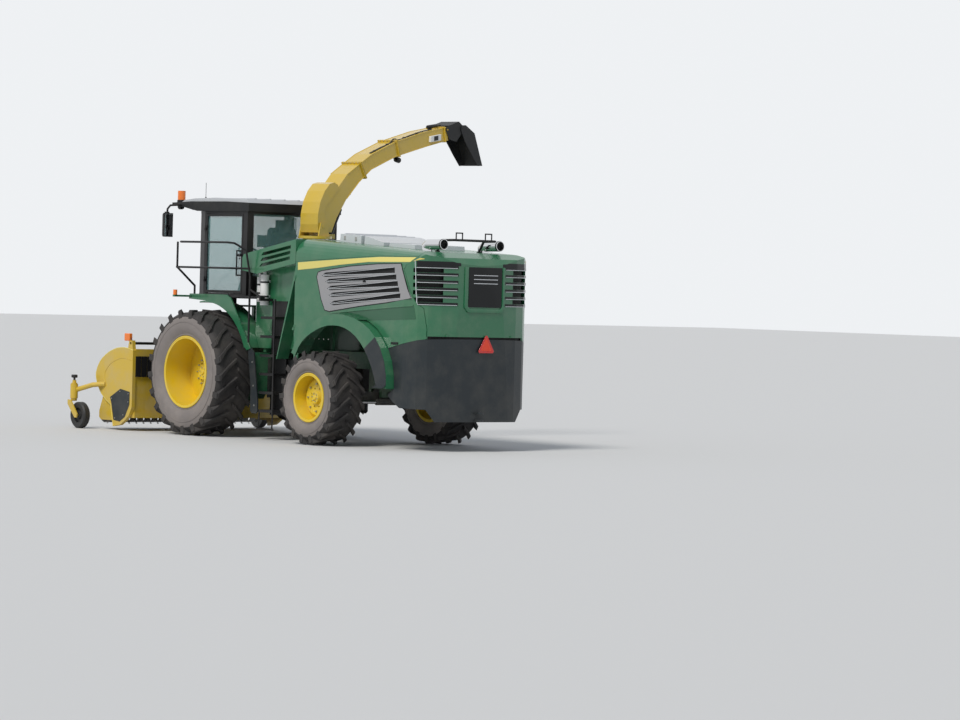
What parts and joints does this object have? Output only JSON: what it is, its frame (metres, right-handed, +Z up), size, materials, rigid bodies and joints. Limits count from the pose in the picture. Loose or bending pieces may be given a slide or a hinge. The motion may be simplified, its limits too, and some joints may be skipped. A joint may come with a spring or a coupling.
{
  "type": "self-propelled forage harvester",
  "caption": "Self-propelled forage harvester with pick-up header, cab, side-turned spout, steered rear axle and louvred engine hood.",
  "frame": {"origin": "middle of the machine's bounding box on the ground, with the spout turned to its right", "axes": "+Z up, -Y forward towards the header, +X to the machine's left"},
  "size_m": [5.5974, 8.1117, 5.086],
  "materials": {
    "green_paint": "gloss",
    "dark_green_paint": "satin",
    "yellow_paint": "gloss",
    "black_paint": "satin",
    "black_plastic": "matte",
    "grey_plastic": "matte",
    "tyre_rubber": "matte",
    "rubber": "matte",
    "glass": "tinted",
    "chrome": "polished",
    "bare_steel": "brushed",
    "pale_metal": "satin",
    "orange_lens": "gloss",
    "cab_trim": "matte",
    "white_paint": "gloss",
    "cast": "rough"
  },
  "bodies": {
    "machine": {"frame": "dark_green_paint", "front_axle": "cast", "rear_axle": "cast", "engine": "cast", "crop_duct": "dark_green_paint", "mid_body": "green_paint", "tanks": "black_plastic", "hood_deck": "green_paint", "shrouds": "green_paint", "rear_hood": "green_paint", "rear_fenders": "green_paint", "skirts": "black_plastic", "cab_frame": "black_paint", "cab_roof": "black_paint", "cab_glass": "glass", "cab_interior": "cab_trim", "front_fenders": "green_paint", "ladder": "black_paint", "handrails": "black_paint", "mirrors": "black_paint", "beacons": "orange_lens", "extinguishers": "white_paint", "deck_boxes": "pale_metal", "exhausts": "chrome"},
    "side_panel_left": {"panel_left": "green_paint", "grille_left": "grey_plastic"},
    "side_panel_right": {"panel_right": "green_paint", "grille_right": "grey_plastic"},
    "cab_door": {"cab_door": "black_paint", "door_glass": "glass"},
    "front_wheel_left": {"tyre_front_left": "tyre_rubber", "rim_front_left": "yellow_paint"},
    "front_wheel_right": {"tyre_front_right": "tyre_rubber", "rim_front_right": "yellow_paint"},
    "knuckle_left": {"knuckle_left": "cast"},
    "knuckle_right": {"knuckle_right": "cast"},
    "steer_rod": {"steer_rod": "chrome"},
    "rear_wheel_left": {"tyre_rear_left": "tyre_rubber", "rim_rear_left": "yellow_paint"},
    "rear_wheel_right": {"tyre_rear_right": "tyre_rubber", "rim_rear_right": "yellow_paint"},
    "header": {"feeder": "dark_green_paint", "header_frame": "yellow_paint", "strippers": "bare_steel"},
    "auger": {"auger": "yellow_paint"},
    "pickup_reel": {"pickup_reel": "bare_steel"},
    "wind_guard": {"wind_guard": "black_paint"},
    "roller": {"roller": "bare_steel"},
    "caster_left": {"caster_left": "yellow_paint"},
    "caster_right": {"caster_right": "yellow_paint"},
    "gauge_wheel_left": {"gauge_wheel_left": "rubber"},
    "gauge_wheel_right": {"gauge_wheel_right": "rubber"},
    "lift_barrels": {"lift_barrels": "black_paint"},
    "lift_rods": {"lift_rods": "chrome"},
    "turret": {"turret": "yellow_paint"},
    "spout": {"spout": "yellow_paint"},
    "ram_barrel": {"ram_barrel": "black_paint"},
    "ram_rod": {"ram_rod": "chrome"},
    "flap_inner": {"flap_inner": "black_plastic"},
    "flap_outer": {"flap_outer": "black_plastic"}
  },
  "joints": [
    {"name": "front_left_spin", "type": "hinge", "parent": "machine", "child": "front_wheel_left", "pos_m": [2.08918, -1.394, 0.985], "axis": [1, 0, 0], "continuous": true},
    {"name": "front_right_spin", "type": "hinge", "parent": "machine", "child": "front_wheel_right", "pos_m": [-0.24082, -1.394, 0.985], "axis": [1, 0, 0], "continuous": true},
    {"name": "steer_left", "type": "hinge", "parent": "machine", "child": "knuckle_left", "pos_m": [1.78418, 1.706, 0.71], "axis": [0, 0, 1], "range_deg": [-38, 38]},
    {"name": "steer_right", "type": "hinge", "parent": "machine", "child": "knuckle_right", "pos_m": [0.06418, 1.706, 0.71], "axis": [0, 0, 1], "range_deg": [-38, 38]},
    {"name": "steer_rod_slide", "type": "slide", "parent": "machine", "child": "steer_rod", "axis": [1, 0, 0], "range_m": [-0.16, 0.16]},
    {"name": "rear_left_spin", "type": "hinge", "parent": "knuckle_left", "child": "rear_wheel_left", "pos_m": [2.08918, 1.706, 0.71], "axis": [1, 0, 0], "continuous": true},
    {"name": "rear_right_spin", "type": "hinge", "parent": "knuckle_right", "child": "rear_wheel_right", "pos_m": [-0.24082, 1.706, 0.71], "axis": [1, 0, 0], "continuous": true},
    {"name": "panel_left_open", "type": "hinge", "parent": "machine", "child": "side_panel_left", "pos_m": [2.00818, 0.852, 2.1], "axis": [0, 0, -1], "range_deg": [0, 85]},
    {"name": "panel_right_open", "type": "hinge", "parent": "machine", "child": "side_panel_right", "pos_m": [-0.15982, 0.852, 2.1], "axis": [0, 0, 1], "range_deg": [0, 85]},
    {"name": "door_open", "type": "hinge", "parent": "machine", "child": "cab_door", "pos_m": [1.81218, -1.761, 2.9], "axis": [0, 0, -1], "range_deg": [0, 30]},
    {"name": "header_lift", "type": "hinge", "parent": "machine", "child": "header", "pos_m": [0.92418, -2.054, 1.275], "axis": [-1, 0, 0], "range_deg": [0, 20]},
    {"name": "lift_barrel_pivot", "type": "hinge", "parent": "machine", "child": "lift_barrels", "pos_m": [1.43018, -1.644, 0.8], "axis": [-1, 0, 0], "range_deg": [0, 13.17]},
    {"name": "lift_rod_slide", "type": "slide", "parent": "lift_barrels", "child": "lift_rods", "axis": [0, -0.9524, -0.3048], "range_m": [0, 0.19327]},
    {"name": "auger_spin", "type": "hinge", "parent": "header", "child": "auger", "pos_m": [0.92418, -3.094, 0.56], "axis": [1, 0, 0], "continuous": true},
    {"name": "reel_spin", "type": "hinge", "parent": "header", "child": "pickup_reel", "pos_m": [0.92418, -3.584, 0.235], "axis": [1, 0, 0], "continuous": true},
    {"name": "guard_pivot", "type": "hinge", "parent": "header", "child": "wind_guard", "pos_m": [0.92418, -2.794, 1.39], "axis": [-1, 0, 0], "range_deg": [0, 25]},
    {"name": "roller_spin", "type": "hinge", "parent": "wind_guard", "child": "roller", "pos_m": [0.92418, -3.424, 0.76], "axis": [1, 0, 0], "continuous": true},
    {"name": "caster_left_turn", "type": "hinge", "parent": "header", "child": "caster_left", "pos_m": [2.70418, -3.994, 0.5], "axis": [0, 0, 1], "continuous": true},
    {"name": "caster_right_turn", "type": "hinge", "parent": "header", "child": "caster_right", "pos_m": [-0.85582, -3.994, 0.5], "axis": [0, 0, 1], "continuous": true},
    {"name": "gauge_left_spin", "type": "hinge", "parent": "caster_left", "child": "gauge_wheel_left", "pos_m": [2.70418, -3.804, 0.21], "axis": [1, 0, 0], "continuous": true},
    {"name": "gauge_right_spin", "type": "hinge", "parent": "caster_right", "child": "gauge_wheel_right", "pos_m": [-0.85582, -3.804, 0.21], "axis": [1, 0, 0], "continuous": true},
    {"name": "spout_turn", "type": "hinge", "parent": "machine", "child": "turret", "pos_m": [0.92418, -0.094, 3.12], "axis": [0, 0, 1], "range_deg": [-205, 5]},
    {"name": "spout_lift", "type": "hinge", "parent": "turret", "child": "spout", "pos_m": [0.96357, -0.08705, 3.3], "axis": [-0.1736, 0.9848, 0], "range_deg": [-6, 10]},
    {"name": "ram_pivot", "type": "hinge", "parent": "turret", "child": "ram_barrel", "pos_m": [0.58934, -0.15304, 3.155], "axis": [-0.1736, 0.9848, 0], "range_deg": [-6.21, 10.35]},
    {"name": "ram_slide", "type": "slide", "parent": "ram_barrel", "child": "ram_rod", "axis": [-0.453, -0.0799, 0.8879], "range_m": [-0.04292, 0.0712]},
    {"name": "flap_inner_tilt", "type": "hinge", "parent": "spout", "child": "flap_inner", "pos_m": [-1.90714, -0.59324, 4.94], "axis": [0.1736, -0.9848, 0], "range_deg": [-12, 30]},
    {"name": "flap_outer_tilt", "type": "hinge", "parent": "flap_inner", "child": "flap_outer", "pos_m": [-2.25675, -0.65488, 4.985], "axis": [0.1736, -0.9848, 0], "range_deg": [-25, 35]}
  ],
  "couplings": [
    {"joint": "steer_right", "follows": "steer_left", "ratio": 1},
    {"joint": "steer_rod_slide", "follows": "steer_left", "m_per_rad": -0.20422},
    {"joint": "lift_barrel_pivot", "follows": "header_lift", "ratio": 0.65808},
    {"joint": "lift_rod_slide", "follows": "header_lift", "m_per_rad": 0.55226},
    {"joint": "ram_pivot", "follows": "spout_lift", "ratio": 1.0338},
    {"joint": "ram_slide", "follows": "spout_lift", "m_per_rad": 0.40509}
  ]
}
